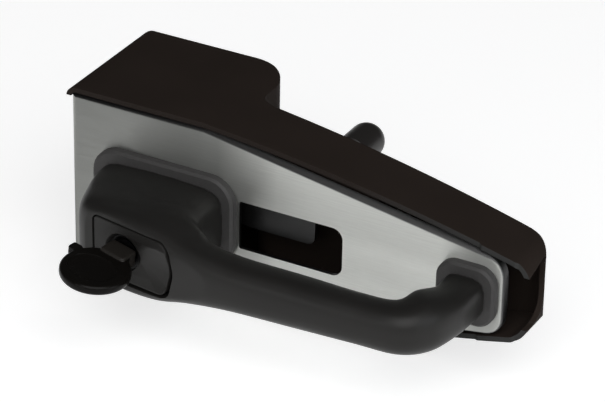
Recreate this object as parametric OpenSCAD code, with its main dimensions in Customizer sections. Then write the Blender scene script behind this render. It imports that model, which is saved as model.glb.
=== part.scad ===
// Rotary door latch with an outside grab handle, a push button lock and an inside release knob
// X runs along the plate from its door edge flange, Y runs into the cabin and Z is up.
// The origin is the centre of the bolt pattern in the outer face of the flange.

/* [Plate] */
// Length of the plate from the flange's outer face to its right rim
plate_l = 228; // [224:1:231]
// Height of the plate at the flange
plate_h = 88.4; // [87:0.2:89]
// Thickness of the steel sheet
sheet_t = 2; // [1.8:0.1:2.2]
// Depth of the rim that is bent back round the plate
rim_d = 5; // [4:0.5:5.5]
// Radius of the bend along the rim
rim_r = 1.3; // [0.8:0.1:1.6]
// Radius of the bend between the plate and the flange
door_r = 3.6; // [3:0.1:4.2]
// Depth of the door edge flange behind the plate's face
flange_d = 66; // [65.5:0.5:67]
// Distance along the plate at which its edges start to slope
taper_x = 72; // [68:1:76]
// Slope of the plate's long edges
taper_a = 9.25; // [8.5:0.25:9.75]
// Corner radius at the narrow end of the plate
corner_r = 10; // [8:1:12]
// Left end of the window in the plate
window_x = 92; // [92:0.5:94]
// Length of the window
window_l = 54.3; // [50:0.1:56]
// Height of the window
window_h = 25; // [22:0.5:26]
// Corner radius of the window
window_r = 5.5; // [4:0.5:6.5]

/* [Fixing] */
// Distance from the plate's face to the row of door bolts nearest to it
bolt_y = 12; // [11.5:0.5:12.5]
// Spacing of the door bolts from front to back
bolt_pitch_y = 44; // [43:0.5:45]
// Distance from the door bolts to the plate's top and bottom edges
bolt_edge_z = 6.2; // [5.8:0.1:6.6]
// Diameter of the door bolt holes
bolt_hole_d = 6.6; // [6.4:0.1:7]

/* [Cover] */
// Wall of the moulded cover
cover_w = 2.6; // [2.2:0.1:3]
// Gap between the flange's outer face and the lip of the cover
lip_gap = 0.4; // [0.3:0.1:0.8]
// Gap between the edge of the plate and the cover above it
edge_gap = 0.6; // [0.5:0.1:1]
// Distance from the plate's face back to the cover's front edge
cover_y = 1.5; // [1:0.1:2]
// Room between the narrow end of the plate and the cover's end wall
end_gap = 9.7; // [8:0.1:11]
// Room between the flange's free edge and the inside of the cover's back
back_room = 3.8; // [3.4:0.1:6]
// Length of the deep end, from the flange's outer face
deep_l = 82; // [80:0.5:84]
// Depth of the shallow end where it leaves the deep one
shallow_d = 35.8; // [35:0.1:37]
// Depth of the shallow end at the end wall
end_d = 29.5; // [28:0.1:30.5]
// Slope of the cover's top where it starts to fall
top_a = 4.9; // [4.5:0.1:5.3]
// Radius of the bow in the cover's top
top_bow_r = 1050; // [1000:10:1150]
// Radius of the rounded ends of the cover's top, seen from the front
end_r = 12; // [10:0.5:14]
// Radius of the lip at the door edge
lip_r = 5; // [4:0.5:6]
// Plan radius at the back of the deep end, away from the door edge
deep_r = 22; // [18:1:24]
// Plan radius between the end wall and the back
back_r = 16; // [13:1:18]
// Height of the notch in the end wall
notch_h = 27; // [24:0.5:29]
// Depth of the notch in the end wall
notch_d = 8.5; // [7:0.5:10]

/* [Handle] */
// Thickness of the gaskets under the feet
gasket_t = 4.6; // [4:0.2:5]
// Width of gasket that shows round a foot
gasket_edge = 5; // [4:0.5:5]
// Left end of the large foot
foot_x = 19.5; // [18.5:0.5:20.5]
// Length of the large foot
foot_l = 66; // [65:0.5:67]
// Height of the large foot
foot_h = 36; // [35:0.5:38]
// Centre of the small foot
tail_foot_x = 210.6; // [208:0.2:212]
// Width of the small foot
tail_foot_l = 20.2; // [19:0.2:21]
// Height of the small foot
tail_foot_h = 20.4; // [19:0.2:22]
// Height of the block round the button
block_h = 39; // [38:0.5:40]
// Height of the grip where it leaves the block
grip_h = 28.4; // [27:0.2:30]
// Distance from the plate's face to the front of the grip
reach = 58.2; // [57.4:0.2:59]
// Depth of the grip from front to back
grip_d = 21.6; // [20:0.2:22.4]

/* [Lock] */
// Distance along the plate to the lock, in the flat of the block
lock_x = 59; // [58.5:0.1:59.5]
// Distance from the plate's face to the lock, in the flat of the block
lock_y = 50.5; // [50:0.1:51]
// Angle by which the flat of the block turns to the door edge
face_a = 9; // [8.5:0.1:9.5]
// Gap round the push button
button_gap = 0.7; // [0.5:0.1:0.9]
// Travel of the push button
button_travel = 4.2; // [4:0.1:4.4]
// Diameter of the lock housing
housing_d = 17.2; // [16.8:0.1:17.6]
// Diameter of the lock plug
plug_d = 12; // [11.5:0.1:12.5]
// Diameter of the key's head
key_d = 35.5; // [33:0.5:37]
// Thickness of the key's head
key_t = 5.2; // [4.6:0.1:5.8]

/* [Latch] */
// Distance from the plate's face to the rotor's pivot
rotor_y = 38; // [37.6:0.1:38.4]
// Height of the rotor's pivot above the middle of the plate
rotor_z = 18; // [17.8:0.1:18.2]
// Radius of the rotor's rim
rotor_r = 20; // [19.6:0.1:20.1]
// Radius of the rotor's two jaws
jaw_r = 24; // [23.6:0.1:24.2]
// Thickness of the rotor and the pawl
rotor_t = 6; // [5.6:0.1:6]
// Width of the striker's way into the latch
mouth_w = 15; // [14.6:0.1:15.4]
// Angle by which the rotor turns from open to closed
rotor_turn = 60; // [58:1:62]
// Distance from the plate's face to the pawl's pivot
pawl_y = 15; // [14.8:0.1:15.2]
// Depth of the pawl's pivot below the middle of the plate
pawl_z = 14; // [13.8:0.1:14.2]
// Distance from the flange's outer face to the release lever's pivot
lever_x = 34; // [33.6:0.1:34.4]
// Distance from the plate's face to the release lever's pivot
lever_y = 13.5; // [13.4:0.1:13.6]
// Thickness of the release lever
lever_t = 3; // [2.8:0.1:3.2]

/* [Knob] */
// Distance from the flange's outer face to the knob
knob_x = 119.3; // [119:0.1:119.6]
// Height of the knob above the middle of the plate
knob_z = 17.6; // [17.2:0.1:18]
// Diameter of the knob
knob_d = 17.8; // [17:0.1:18.6]
// Distance from the plate's face to the middle of the knob's dome
knob_y = 74; // [72:0.5:76]
// Length of the knob's straight part
knob_l = 17; // [15:0.5:19]
// Diameter of the knob's stalk
stalk_d = 9; // [8.6:0.1:9.4]

/* [Hidden] */
$fn = 64;

// Overlap by which a cutter runs past the face that it cuts
cut = 1;
// Running gap between flat faces that slide on each other
slide_gap = 0.4;
// Radial gap of a pin in the piece that turns on it
pin_gap = 0.06;
// Gap between faces that seat on each other without pressing
seat_gap = 0.05;

// Spacing of the door bolts from bottom to top
bolt_pitch_z = plate_h - 2 * bolt_edge_z;
// Middle of the bolt pattern, where the origin lies
origin_y = bolt_y + bolt_pitch_y / 2;
half_h = plate_h / 2;
window_end = window_x + window_l;
// Radius of the outline where the long edges start to slope
bend_corner_r = 4;

// Cover
cover_x0 = -lip_gap - cover_w;
cover_x1 = plate_l + end_gap + cover_w;
cover_half = half_h + edge_gap + cover_w;
// Depth of the cover's deep end behind the plate's face
deep_d = flange_d + back_room + cover_w;
lip_end = 4.6;
deep_back_r = 6;
inner_fillet_r = 8;
bow_x = taper_x - top_bow_r * sin(top_a);
bow_z = cover_half - top_bow_r * cos(top_a);
bow_end_a = asin((cover_x1 - end_r - bow_x) / (top_bow_r - end_r));
bow_steps = 14;
back_fall = (end_d - shallow_d) / (cover_x1 - deep_l);
boss_r = 5;
screw_d = 4;
standoff_x = 165;
standoff_z = 14;
standoff_r = 4;
standoff_end = 24;
ear_l = 16;
ear_h = 12;
ear_x = 9;
ear_z = half_h - 8.2;
striker_way = 9;
stalk_room = 0.8;

// Handle
m6 = 6;
m6_head_d = 10;
m6_head_h = 6;
insert_d = 9;
insert_l = 14;
left_screw_x = 48;
left_screw_z = 11;
washer_d = 12.5;
washer_t = 1.2;
pocket_d = 13;
web_t = 3;
cavity_r = 12.5;
boss_tube_r = 10.8;
boss_tube_l = 23;
button_t = 5;
lock_recess = 2.4;
tail_w = 10;
tail_t = 3.2;
tail_hole_r = 7.5;
// Depth from the flat of the block at which the tail meets the lever
lever_face_depth = (lock_y + lever_y - lever_t / 2) / cos(face_a);
nub_h = 0.7;
tail_slack = 1.1;
tail_end = lever_face_depth - slide_gap - nub_h - tail_slack;

// Latch case
rotor_x = sheet_t + slide_gap;
case_x = rotor_x + rotor_t + slide_gap;
case_t = 2.5;
case_slope = 17;
case_y0 = sheet_t + 3;
case_y1 = flange_d - sheet_t - 1;
case_top = half_h - 1;
case_bottom = bolt_pitch_z / 2 - 6;
case_shoulder_h = 21;
case_shoulder = case_top - case_shoulder_h;
rotor_pin_d = 9;
pawl_pin_d = 7;
stud_d = 5;
stud_y = 9.1;
stud_z = 2;
stud_end = 19;
pin_head_t = 1.6;
striker_d = mouth_w / 2;
lever_pin_d = 5;
eye_r = 5;
ear_gap = 8.9;
bracket_t = 2;

// Puts a piece in the frame of the bolt pattern
module in_door() translate([0, -origin_y, 0]) children();

// Turns a drawing in X and Z into a slab from y0 to y0 + h
module slab_y(y0, h) translate([0, y0 + h, 0]) rotate([90, 0, 0]) linear_extrude(h) children();

// Turns a drawing in Y and Z into a slab from x0 to x0 + h
module slab_x(x0, h) translate([x0, 0, 0]) rotate([90, 0, 90]) linear_extrude(h) children();

// Round bar along Y
module bar_y(x, z, y0, y1, r) translate([x, y0, z]) rotate([-90, 0, 0]) cylinder(r = r, h = y1 - y0);

// Round bar along X
module bar_x(y, z, x0, x1, r) translate([x0, y, z]) rotate([0, 90, 0]) cylinder(r = r, h = x1 - x0);

// Frame of the lock: depth runs along +Y from the flat of the block
module at_lock() translate([lock_x, -lock_y, 0]) rotate([0, 0, -face_a]) children();

function unit(v) = v / norm(v);
function corner_u(p, i) = unit(p[(i + len(p) - 1) % len(p)] - p[i]);
function corner_v(p, i) = unit(p[(i + 1) % len(p)] - p[i]);
function corner_half(p, i) = acos(corner_u(p, i) * corner_v(p, i)) / 2;
function corner_convex(p, i) = cross(corner_v(p, i), corner_u(p, i)) > 0;
function corner_centre(p, r, i) =
    p[i] + unit(corner_u(p, i) + corner_v(p, i)) * r[i] / sin(corner_half(p, i));

// Outline through corner points, anticlockwise, with a true arc of radius r[i] at each
module rounded_outline(p, r) {
    difference() {
        union() {
            polygon([for (i = [0 : len(p) - 1]) each r[i] > 0
                ? [p[i] + corner_u(p, i) * r[i] / tan(corner_half(p, i)),
                   p[i] + corner_v(p, i) * r[i] / tan(corner_half(p, i))]
                : [p[i]]]);
            for (i = [0 : len(p) - 1])
                if (r[i] > 0 && corner_convex(p, i)) translate(corner_centre(p, r, i)) circle(r = r[i]);
        }
        for (i = [0 : len(p) - 1])
            if (r[i] > 0 && !corner_convex(p, i)) translate(corner_centre(p, r, i)) circle(r = r[i]);
    }
}

// Rectangle about its centre, with rounded corners
module rounded_rect(w, h, r) {
    square([w, h - 2 * r], center = true);
    square([w - 2 * r, h], center = true);
    for (x = [-1, 1], z = [-1, 1]) translate([x * (w / 2 - r), z * (h / 2 - r)]) circle(r = r);
}

// Wire coil about Z, as a tube swept along a helix
module coil(r, wire_d, turns, height, sides = 8, steps = 18) {
    rings = round(turns * steps);
    points = [for (i = [0 : rings], j = [0 : sides - 1])
        let (a = 360 * turns * i / rings, b = 360 * j / sides, q = r + wire_d / 2 * cos(b))
        [q * cos(a), q * sin(a), wire_d / 2 + (height - wire_d) * i / rings + wire_d / 2 * sin(b)]];
    faces = concat(
        [for (i = [0 : rings - 1], j = [0 : sides - 1])
            let (k = (j + 1) % sides)
                [i * sides + j, (i + 1) * sides + j, (i + 1) * sides + k, i * sides + k]],
        [[for (j = [0 : sides - 1]) j], [for (j = [sides - 1 : -1 : 0]) rings * sides + j]]);
    polyhedron(points, faces);
}

// Socket head screw along +Y from its head's face at y0, with its head towards -Y
module socket_screw(d, head_d, head_h, length) {
    difference() {
        union() {
            rotate([-90, 0, 0]) cylinder(d = head_d, h = head_h);
            rotate([-90, 0, 0]) cylinder(d = d, h = head_h + length);
        }
        translate([0, -cut, 0]) rotate([-90, 0, 0]) cylinder(d = d * 0.95, h = head_h * 0.6 + cut, $fn = 6);
    }
}

// Plate and flange

// One rounded corner of the plate's outline, grown into a disc with a rolled front edge
module corner_disc(r, depth, roll) {
    rotate([-90, 0, 0]) rotate_extrude($fn = 32)
        polygon(concat([[0, 0]],
            [for (a = [0 : 22.5 : 90]) [r - roll + roll * sin(a), roll - roll * cos(a)]],
            [[r, depth], [0, depth]]));
}

// Solid outline of the plate, inset by a sheet's thickness for the inside of the pan
module plate_block(inset, y0, depth, roll) {
    right_x = plate_l - corner_r;
    right_z = half_h - (right_x - taper_x) * tan(taper_a) - corner_r / cos(taper_a);
    translate([0, y0, 0]) hull() for (z = [-1, 1]) {
        for (x = [-corner_r, taper_x]) translate([x, 0, z * (half_h - bend_corner_r)])
            corner_disc(bend_corner_r - inset, depth, roll);
        translate([right_x, 0, z * right_z]) corner_disc(corner_r - inset, depth, roll);
    }
}

// Plan of the fold between the plate and the flange
module fold_plan(inset) {
    rounded_outline([[inset, inset], [plate_l + cut, inset], [plate_l + cut, flange_d + 2 * cut],
        [inset, flange_d + 2 * cut]], [door_r - inset, 0, 0, 0]);
}

// Striker's way in, in Y and Z, ending in a round seat below the rotor
module mouth(half, end) {
    translate([rotor_y, 0]) circle(r = half);
    translate([rotor_y, -half]) square([end - rotor_y, 2 * half]);
}

module ear(z) {
    translate([0, 0, z - ear_h / 2]) linear_extrude(ear_h)
        rounded_outline([[0, flange_d - ear_l / 2], [sheet_t, flange_d - ear_l / 2],
            [sheet_t, flange_d - sheet_t], [ear_l, flange_d - sheet_t], [ear_l, flange_d], [0, flange_d]],
            [0, 0, 1, 0, 0, sheet_t - 0.1]);
}

module mounting_plate() {
    color([0.72, 0.73, 0.70]) difference() {
        union() {
            difference() {
                intersection() {
                    plate_block(0, 0, flange_d, rim_r);
                    translate([0, 0, -plate_h]) linear_extrude(2 * plate_h) fold_plan(0);
                }
                intersection() {
                    plate_block(sheet_t, sheet_t, flange_d, 0.01);
                    translate([0, 0, -plate_h]) linear_extrude(2 * plate_h) fold_plan(sheet_t);
                }
                translate([sheet_t, rim_d, -plate_h]) cube([plate_l, flange_d, 2 * plate_h]);
                for (z = [-1, 1])
                    translate([-cut, rim_d, z > 0 ? half_h - sheet_t : -half_h - cut])
                        cube([2 * sheet_t, flange_d, sheet_t + cut]);
            }
            for (z = [-1, 1]) ear(z * ear_z);
        }
        // Window, with its rounded corners at the right end only
        slab_y(-cut, sheet_t + 2 * cut) rounded_outline(
            [[window_x, -window_h / 2], [window_end, -window_h / 2],
             [window_end, window_h / 2], [window_x, window_h / 2]], [1, window_r, window_r, 1]);
        slab_x(-cut, sheet_t + 2 * cut) mouth(mouth_w / 2, flange_d + cut);
        for (y = [0, 1], z = [-1, 1])
            bar_x(bolt_y + y * bolt_pitch_y, z * bolt_pitch_z / 2, -cut, sheet_t + cut, bolt_hole_d / 2);
        bar_x(rotor_y, rotor_z, -cut, sheet_t + cut, rotor_pin_d / 2);
        bar_x(pawl_y, -pawl_z, -cut, sheet_t + cut, pawl_pin_d / 2);
        for (s = spacer_places) bar_x(s[0], s[1], -cut, sheet_t + cut, spacer_rivet_r);
        for (z = [-1, 1]) bar_y(ear_x, z * ear_z, flange_d - sheet_t - cut, flange_d + cut, screw_d / 2);
        for (p = handle_screw_places) bar_y(p[0], p[1], -cut, sheet_t + cut, m6 / 2 + 0.4);
        at_tail_hole() circle(r = tail_hole_r);
    }
}

// Hole through the sheet and the gasket for the lock's tail
module at_tail_hole()
    translate([lock_x + lock_y * tan(face_a), 0, 0])
        slab_y(-gasket_t - cut, gasket_t + sheet_t + 2 * cut) children();

handle_screw_places = [[left_screw_x, left_screw_z], [left_screw_x, -left_screw_z], [tail_foot_x, 0]];
spacer_places = [[24, half_h - 5.2], [58, -27], [10, -29]];
spacer_r = 4;
spacer_rivet_r = 2.5;

module fixing_nuts() {
    nut_w = 10;
    nut_h = 5;
    color([0.62, 0.62, 0.60]) for (y = [0, 1], z = [-1, 1]) difference() {
        translate([sheet_t, bolt_y + y * bolt_pitch_y, z * bolt_pitch_z / 2]) rotate([0, 90, 0])
            rotate([0, 0, 30]) cylinder(d = nut_w / cos(30), h = nut_h, $fn = 6);
        bar_x(bolt_y + y * bolt_pitch_y, z * bolt_pitch_z / 2, 0, sheet_t + nut_h + cut, m6 / 2);
    }
}

module plate_standoffs() {
    color([0.62, 0.62, 0.60]) for (z = [-1, 1]) difference() {
        bar_y(standoff_x, z * standoff_z, sheet_t, standoff_end, standoff_r);
        bar_y(standoff_x, z * standoff_z, standoff_end - 14, standoff_end + cut, screw_d / 2);
    }
}

// Cover

function bow_point(w, a) = [bow_x + (top_bow_r - w) * sin(a), bow_z + (top_bow_r - w) * cos(a)];

// Points along the bowed top, inset by w, up to the corner at the end wall
function bow_line(w) =
    let (a0 = acos((cover_half - w - bow_z) / (top_bow_r - w)), touch = bow_point(w, bow_end_a))
    concat([for (i = [0 : bow_steps - 1]) bow_point(w, a0 + (bow_end_a - a0) * i / bow_steps)],
        [[cover_x1 - w, touch[1] - (cover_x1 - w - touch[0]) * tan(bow_end_a)]]);

// Front outline of the cover in X and Z, inset by w
module cover_front(w) {
    top = bow_line(w);
    plain = [for (i = [1 : bow_steps]) 0];
    rounded_outline(concat([[cover_x0 + w, -cover_half + w]], [for (q = top) [q[0], -q[1]]],
        [for (i = [bow_steps : -1 : 0]) top[i]], [[cover_x0 + w, cover_half - w]]),
        concat([lip_r - w], plain, [end_r - w, end_r - w], plain, [lip_r - w]));
}

function back_y(x, w) = shallow_d + (x - deep_l) * back_fall - w / cos(atan(back_fall));

// Plan of the cover in X and Y, inset by w, from y0
module cover_plan(w, y0) {
    rounded_outline([[cover_x0 + w, y0], [cover_x1 - w, y0], [cover_x1 - w, back_y(cover_x1 - w, w)],
        [deep_l - w, back_y(deep_l - w, w)], [deep_l - w, deep_d - w], [cover_x0 + w, deep_d - w]],
        [0, 0, back_r - w, inner_fillet_r + w, deep_r - w, deep_back_r - w]);
}

module cover_solid(w, y0) {
    intersection() {
        slab_y(y0 - cut, deep_d + 2 * cut) cover_front(w);
        translate([0, 0, -cover_half - cut]) linear_extrude(2 * cover_half + 2 * cut) cover_plan(w, y0);
    }
}

module cover() {
    color([0.14, 0.12, 0.11]) difference() {
        union() {
            difference() {
                cover_solid(0, cover_y);
                cover_solid(cover_w, cover_y - cut);
            }
            for (z = [-1, 1]) bar_y(ear_x, z * ear_z, flange_d + seat_gap, deep_d - cover_w / 2, boss_r);
            for (z = [-1, 1]) bar_y(standoff_x, z * standoff_z, standoff_end + seat_gap,
                back_y(standoff_x, cover_w / 2), boss_r);
        }
        // Open door edge, above and below which only the lips are left
        translate([cover_x0 - cut, 0, -cover_half + lip_end])
            cube([cover_w + lip_gap / 2 + cut, deep_d + cut, 2 * (cover_half - lip_end)]);
        // Way of the striker through the back
        slab_y(deep_d - deep_back_r - cut, deep_back_r + 2 * cut) union() {
            translate([ear_x, 0]) circle(r = striker_way);
            translate([cover_x0 - cut, -striker_way]) square([ear_x - cover_x0 + cut, 2 * striker_way]);
        }
        // Notch in the end wall
        slab_x(cover_x1 - end_r - cut, end_r + 2 * cut) rounded_outline(
            [[cover_y - cut, -notch_h / 2], [cover_y + notch_d, -notch_h / 2],
             [cover_y + notch_d, notch_h / 2], [cover_y - cut, notch_h / 2]], [0, 3, 3, 0]);
        // Way of the knob's stalk
        slab_y(shallow_d - 4 * cover_w, 5 * cover_w) translate([knob_x - 1.5, knob_z])
            rounded_rect(stalk_d + 7, stalk_d + 2 * stalk_room, stalk_d / 2 + stalk_room - 0.5);
        for (z = [-1, 1]) {
            bar_y(ear_x, z * ear_z, flange_d - cut, deep_d + cut, screw_d / 2 + 0.3);
            bar_y(ear_x, z * ear_z, deep_d - 3, deep_d + cut, screw_head_d / 2 + 0.4);
            bar_y(standoff_x, z * standoff_z, standoff_end - cut, shallow_d + cut, screw_d / 2 + 0.3);
            bar_y(standoff_x, z * standoff_z, standoff_seat, shallow_d + cut, screw_head_d / 2 + 0.4);
        }
    }
}

screw_head_d = 7;
screw_head_h = 2.6;
standoff_seat = back_y(standoff_x, 0) - 3.4;

module cover_screws() {
    color([0.25, 0.25, 0.25]) for (z = [-1, 1]) {
        translate([ear_x, deep_d - 3 + seat_gap + screw_head_h, z * ear_z]) rotate([0, 0, 180])
            socket_screw(screw_d - 0.1, screw_head_d, screw_head_h, deep_d - 3 - flange_d + sheet_t + 1);
        translate([standoff_x, standoff_seat + seat_gap + screw_head_h, z * standoff_z]) rotate([0, 0, 180])
            socket_screw(screw_d - 0.1, screw_head_d, screw_head_h, standoff_seat - standoff_end + 9);
    }
}

// Grab handle

foot_end = foot_x + foot_l;
tail_x0 = tail_foot_x - tail_foot_l / 2;
tail_x1 = tail_foot_x + tail_foot_l / 2;
grip_back = reach - grip_d;
// Front of the flat, at a distance x along the plate, before the flat is cut
function crown(x) = lock_y + (x - lock_x) * tan(face_a) + 1.6;

// Each row: outer point, inner point, half height and squareness of one section
stations = [
    [foot_x, gasket_t, foot_end, gasket_t, foot_h / 2, 5],
    [foot_x + 1, 14, foot_end + 0.3, 12, foot_h / 2 + 0.2, 5],
    [foot_x + 5, 28, foot_end + 0.8, 21, foot_h / 2 + 0.4, 5],
    [foot_x + 9.8, 40, foot_end + 2, 27, block_h / 2, 5],
    [foot_x + 14.8, crown(foot_x + 14.8) - 2.6, foot_end + 3.5, 31, block_h / 2, 5],
    [foot_x + 25, crown(foot_x + 25), foot_end + 5.5, 33.2, block_h / 2, 5],
    [foot_x + 38, crown(foot_x + 38) + 0.2, foot_end + 8, 34.8, block_h / 2 - 0.6, 4.6],
    [foot_x + 54, crown(foot_x + 54) - 0.2, foot_end + 11, 36, block_h / 2 - 2, 4],
    [foot_x + 74, reach - 1.2, foot_end + 16, reach - grip_d - 0.2, grip_h / 2 + 1.7, 3.2],
    [foot_x + 98, reach, foot_end + 32, reach - grip_d, grip_h / 2, 2.7],
    [foot_x + 130, reach - 1.8, foot_end + 62, reach - grip_d - 1.4, grip_h / 2 - 1, 2.5],
    [tail_x1 - 41, reach - 4.7, tail_x0 - 23.5, reach - grip_d - 3.8, grip_h / 2 - 1.8, 2.5],
    [tail_x1 - 20.5, reach - 9, tail_x0 - 10.5, reach - grip_d - 7.2, grip_h / 2 - 2.2, 2.5],
    [tail_x1 - 7.2, reach - 17.5, tail_x0 - 3, reach - grip_d - 13, tail_foot_h / 2 + 1.4, 2.6],
    [tail_x1 - 0.8, reach - 30.5, tail_x0 - 0.3, 16.5, tail_foot_h / 2 + 0.6, 2.9],
    [tail_x1, 15, tail_x0, 10, tail_foot_h / 2, 3.2],
    [tail_x1, gasket_t, tail_x0, gasket_t, tail_foot_h / 2, 3.4]
];

// Smooth curve through four rows, t of the way from b to c
function through(a, b, c, d, t) =
    0.5 * (2 * b + (c - a) * t + (2 * a - 5 * b + 4 * c - d) * t * t + (3 * b - a - 3 * c + d) * t * t * t);
function station_at(i, t) = through(stations[max(i - 1, 0)], stations[i],
    stations[min(i + 1, len(stations) - 1)], stations[min(i + 2, len(stations) - 1)], t);
function signed_power(v, e) = sign(v) * pow(abs(v), e);

// Points round one section, a rounded rectangle across the line from its outer to its inner point
function section(s, sides) = let (mid = [(s[0] + s[2]) / 2, -(s[1] + s[3]) / 2],
        half = [(s[0] - s[2]) / 2, -(s[1] - s[3]) / 2])
    [for (j = [0 : sides - 1]) let (a = 360 * (j + 0.5) / sides, c = signed_power(cos(a), 2 / s[5]),
        d = signed_power(sin(a), 2 / s[5])) [mid[0] + half[0] * c, mid[1] + half[1] * c, s[4] * d]];

module handle_loft(sides = 32, steps = 3) {
    last = (len(stations) - 1) * steps;
    points = [for (i = [0 : last]) each section(
        i == last ? stations[len(stations) - 1] : station_at(floor(i / steps), (i % steps) / steps), sides)];
    faces = concat(
        [for (i = [0 : last - 1], j = [0 : sides - 1]) let (k = (j + 1) % sides, p = i * sides, q = p + sides)
            each [[p + j, q + j, q + k], [p + j, q + k, p + k]]],
        [[for (j = [0 : sides - 1]) j], [for (j = [sides - 1 : -1 : 0]) last * sides + j]]);
    polyhedron(points, faces);
}

// Outline of the push button in its own face, grown by g
module button_outline(g) {
    rounded_outline([[-17 - g, -14.4 - g], [25 + g, -13.9 - g], [28.6 + g, 0],
        [25 + g, 13.4 + g], [-17 - g, 14.6 + g]], [2.5 + g, 6 + g, 12 + g, 6 + g, 2.5 + g]);
}

module grab_handle() {
    color([0.17, 0.165, 0.16]) difference() {
        handle_loft();
        at_lock() {
            // Flat round the button, which leaves the grip's crown free on the right
            translate([-60, -20, -30]) cube([110, 20, 60]);
            slab_y(-cut, pocket_d + cut) button_outline(button_gap);
            bar_y(0, 0, pocket_d - cut, pocket_d + web_t + cut, boss_tube_r + 0.4);
            bar_y(0, 0, pocket_d + web_t, lock_y + cut, cavity_r);
        }
        for (p = handle_screw_places)
            bar_y(p[0], p[1], -gasket_t - insert_l - 1, -gasket_t + cut, insert_d / 2);
    }
}

module handle_inserts() {
    color([0.78, 0.63, 0.33]) for (p = handle_screw_places) difference() {
        bar_y(p[0], p[1], -gasket_t - insert_l, -gasket_t - 0.2, insert_d / 2 - seat_gap);
        bar_y(p[0], p[1], -gasket_t - insert_l - cut, -gasket_t + cut, m6 / 2);
    }
}

module handle_washers() {
    color([0.62, 0.62, 0.60]) for (p = handle_screw_places) difference() {
        bar_y(p[0], p[1], sheet_t + seat_gap, sheet_t + seat_gap + washer_t, washer_d / 2);
        bar_y(p[0], p[1], 0, sheet_t + washer_t + cut, m6 / 2 + 0.3);
    }
}

module handle_screws() {
    seat = sheet_t + 2 * seat_gap + washer_t;
    color([0.25, 0.25, 0.25]) for (p = handle_screw_places)
        translate([p[0], seat + m6_head_h, p[1]]) rotate([0, 0, 180])
            socket_screw(m6 - 0.1, m6_head_d, m6_head_h, seat + gasket_t + insert_l - 3);
}

// Gasket round a foot's outline: a soft pad with a bevelled edge and a hole for what passes through
module gasket(x, w, h, r) {
    bevel = 1.2;
    difference() {
        hull() {
            slab_y(-gasket_t + bevel, gasket_t - bevel) translate([x, 0]) rounded_rect(w, h, r);
            slab_y(-gasket_t, bevel) translate([x, 0])
                rounded_rect(w - 2 * bevel, h - 2 * bevel, r - bevel);
        }
        for (p = handle_screw_places) bar_y(p[0], p[1], -gasket_t - cut, cut, m6 / 2 + 0.5);
        at_tail_hole() circle(r = tail_hole_r + 1);
    }
}

module left_gasket() {
    color([0.24, 0.23, 0.22])
        gasket(foot_x + foot_l / 2, foot_l + 2 * gasket_edge, foot_h + 2 * gasket_edge, 13, $fn = 32);
}

module right_gasket() {
    color([0.24, 0.23, 0.22])
        gasket(tail_foot_x, tail_foot_l + 2 * gasket_edge - 0.8, tail_foot_h + 2 * gasket_edge, 9, $fn = 32);
}

// Push button and lock

module push_button() {
    color([0.17, 0.165, 0.16]) at_lock() difference() {
        union() {
            slab_y(0, button_t) button_outline(0);
            // Thumb pad, a shallow dome on the face
            translate([pad_x, pad_r - pad_h, 0]) rotate([-90, 0, 0]) rotate_extrude($fn = 128)
                intersection() {
                    translate([0, -pad_r]) square([pad_r, pad_h + 0.5]);
                    circle(r = pad_r);
                }
            bar_y(0, 0, button_t - cut, boss_tube_l, boss_tube_r);
        }
        bar_y(0, 0, -3 * cut, boss_tube_l + cut, housing_d / 2);
        // Groove for the retaining clip
        difference() {
            bar_y(0, 0, clip_y, clip_y + clip_t, boss_tube_r + cut);
            bar_y(0, 0, clip_y - cut, clip_y + clip_t + cut, boss_tube_r - clip_groove);
        }
    }
}

pad_x = 13.6;
pad_r = 37.4;
pad_h = 2.2;
clip_t = 1.2;
clip_groove = 0.9;
clip_y = pocket_d + web_t + slide_gap;

// Open ring that snaps into a groove
module clip(r_in, r_out, t, mouth_width) {
    rotate([-90, 0, 0]) difference() {
        cylinder(r = r_out, h = t);
        translate([0, 0, -cut]) cylinder(r = r_in, h = t + 2 * cut);
        translate([0, -mouth_width / 2, -cut]) cube([r_out + cut, mouth_width, t + 2 * cut]);
    }
}

module button_clip() {
    color([0.55, 0.55, 0.53]) at_lock() translate([0, clip_y + seat_gap, 0])
        clip(boss_tube_r - clip_groove + seat_gap, cavity_r - 0.5, clip_t - 2 * seat_gap, 6);
}

module button_spring() {
    wire = 1.1;
    height = pocket_d - button_t - button_travel - 0.3;
    color([0.6, 0.6, 0.58]) at_lock() translate([0, pocket_d - seat_gap, 0]) rotate([90, 0, 0])
        coil(boss_tube_r + 1.4 + wire / 2, wire, 1.75, height);
}

module lock_housing() {
    color([0.30, 0.30, 0.30]) at_lock() difference() {
        bar_y(0, 0, lock_recess, boss_tube_l + 2, housing_d / 2 - seat_gap);
        bar_y(0, 0, lock_recess - cut, boss_tube_l + 3, plug_d / 2 + pin_gap);
        // Dished front
        translate([0, lock_recess - 0.01, 0]) rotate([-90, 0, 0])
            cylinder(r1 = housing_d / 2 - 0.8, r2 = plug_d / 2, h = 1.2);
    }
}

tail_clip_y = boss_tube_l + 6.2;
keyway_w = 9;
keyway_t = 2.6;
keyway_l = 21;

module lock_plug() {
    color([0.45, 0.45, 0.44]) at_lock() difference() {
        union() {
            bar_y(0, 0, lock_recess + 0.6, boss_tube_l + 3, plug_d / 2);
            bar_y(0, 0, boss_tube_l + 3, boss_tube_l + 8, 4);
        }
        translate([-keyway_w / 2, lock_recess, -keyway_t / 2]) cube([keyway_w, keyway_l, keyway_t]);
        // Square that drives the tail
        difference() {
            bar_y(0, 0, boss_tube_l + 3, boss_tube_l + 8 + cut, 4 + cut);
            translate([-3, boss_tube_l + 3 - cut, -3]) cube([6, 5 + 3 * cut, 6]);
        }
        // Groove for the clip
        difference() {
            bar_y(0, 0, tail_clip_y, tail_clip_y + 1.2, 4 + cut);
            bar_y(0, 0, tail_clip_y - cut, tail_clip_y + 1.2 + cut, 2.7);
        }
    }
}

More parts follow.
